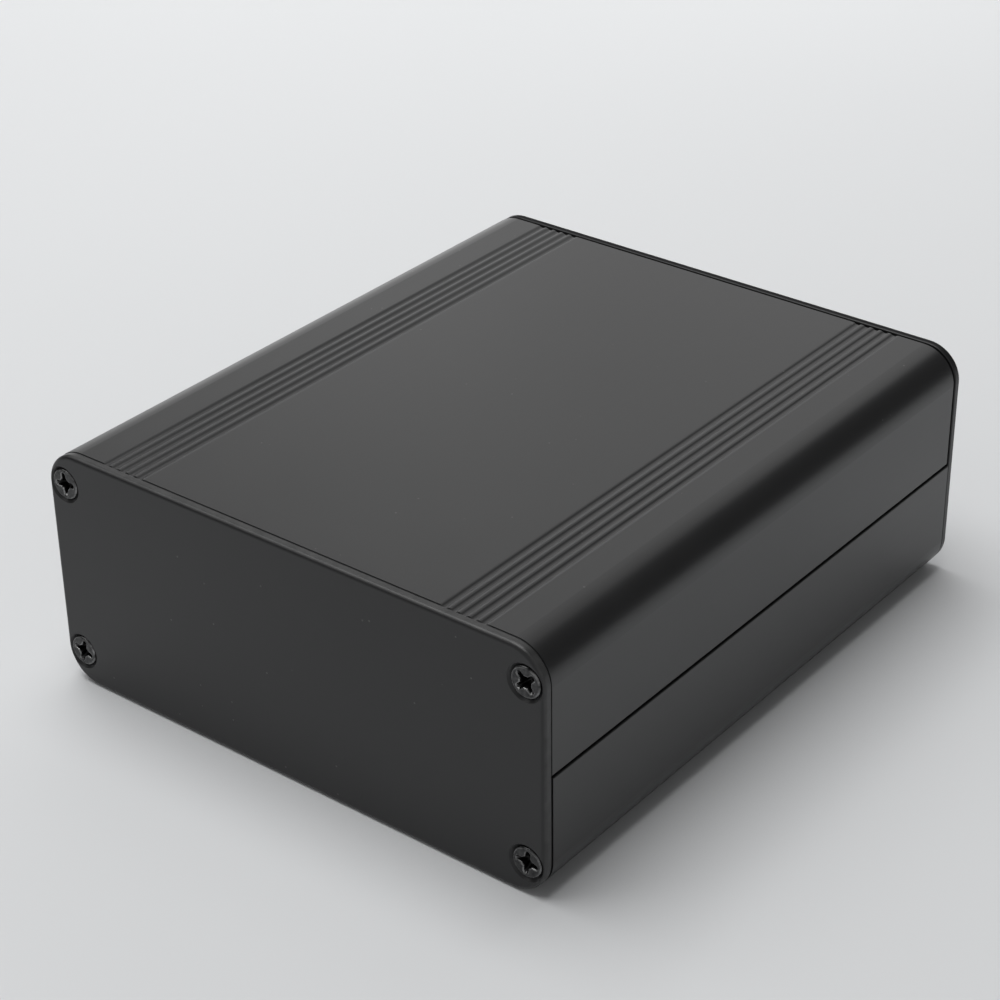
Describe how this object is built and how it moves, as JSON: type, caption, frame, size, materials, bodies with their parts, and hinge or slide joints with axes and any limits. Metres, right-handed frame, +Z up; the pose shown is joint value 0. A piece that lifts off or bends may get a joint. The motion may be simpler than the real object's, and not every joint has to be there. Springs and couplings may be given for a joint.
{
  "type": "extruded aluminium enclosure",
  "caption": "Split black anodised aluminium box for electronics: grooved upper and lower extruded shells closed by flat screwed end panels, with board slots inside.",
  "frame": {"origin": "on the supporting surface, under the middle of the box", "axes": "+Z up, +X across the width, +Y along the length from the front panel to the rear panel"},
  "size_m": [0.088, 0.1036, 0.0384],
  "materials": {
    "anodised_shell": "satin black anodised, fine blasted",
    "anodised_panel": "satin black anodised, fine blasted",
    "black_steel": "black oxide, satin"
  },
  "bodies": {
    "root": {"upper_shell": "anodised_shell", "lower_shell": "anodised_shell", "front_panel": "anodised_panel", "rear_panel": "anodised_panel", "panel_screws": "black_steel"}
  },
  "joints": []
}
